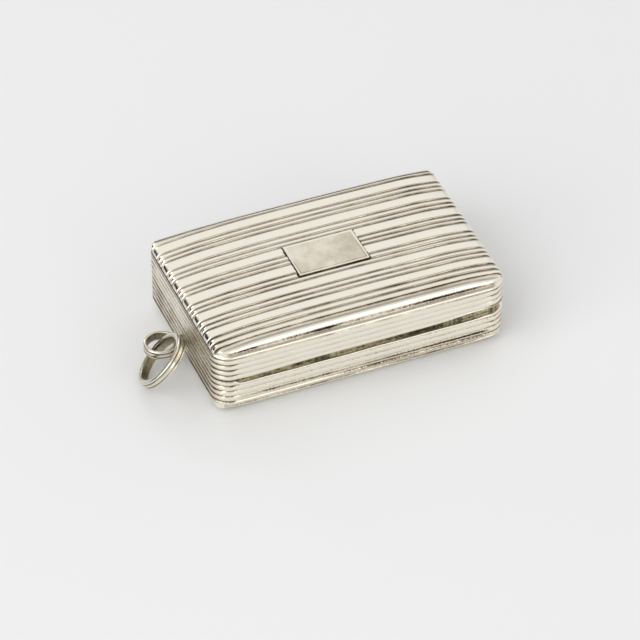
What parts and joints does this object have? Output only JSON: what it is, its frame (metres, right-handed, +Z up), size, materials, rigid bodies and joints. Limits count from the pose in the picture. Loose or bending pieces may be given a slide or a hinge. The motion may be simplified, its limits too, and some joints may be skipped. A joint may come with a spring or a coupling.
{
  "type": "silver vinaigrette",
  "caption": "Small reeded silver box with a cushion-form hinged lid, a plain cartouche, a pierced gilt grille over a scent sponge, and a hanging ring on an end eye.",
  "frame": {"origin": "middle of the flat band on the underside of the base, on the surface that the box stands on", "axes": "+X along the box away from the ring end, +Y towards the hinge at the back, +Z up through the lid"},
  "size_m": [0.0378, 0.0213, 0.0091],
  "materials": {
    "silver": "hand-polished silver with brown tarnish in the grooves",
    "gilt": "worn gilding over silver",
    "dull_silver": "handled silver wire, softly scratched",
    "sponge": "open-pored natural sponge"
  },
  "bodies": {
    "base": {"base_plate": "silver", "base_wall": "silver", "base_bezel": "gilt", "base_knuckle_left": "silver", "base_knuckle_centre": "silver", "base_knuckle_right": "silver", "lid_hinge_pin": "silver", "grille_ledge": "gilt", "grille_lug_left": "gilt", "grille_lug_right": "gilt", "grille_pin": "gilt", "sponge": "sponge", "suspension_eye": "dull_silver"},
    "lid": {"lid_top": "silver", "lid_wall": "silver", "cartouche": "silver", "lid_knuckle_left": "silver", "lid_knuckle_right": "silver"},
    "grille": {"grille_plate": "gilt", "grille_knuckle": "gilt", "grille_tab": "gilt"},
    "ring": {"jump_ring": "dull_silver"}
  },
  "joints": [
    {"name": "lid_hinge", "type": "hinge", "parent": "base", "child": "lid", "pos_m": [0, 0.01045, 0.0045], "axis": [-1, 0, 0], "range_deg": [0, 110]},
    {"name": "grille_hinge", "type": "hinge", "parent": "base", "child": "grille", "pos_m": [0, 0.00865, 0.00502], "axis": [-1, 0, 0], "range_deg": [0, 90]},
    {"name": "ring_turn", "type": "hinge", "parent": "base", "child": "ring", "pos_m": [-0.01825, 0, 0.00255], "axis": [0, 0, 1], "range_deg": [-140, 8]}
  ],
  "couplings": [
    {"joint": "grille_hinge", "follows": "lid_hinge", "ratio": 0.6}
  ]
}
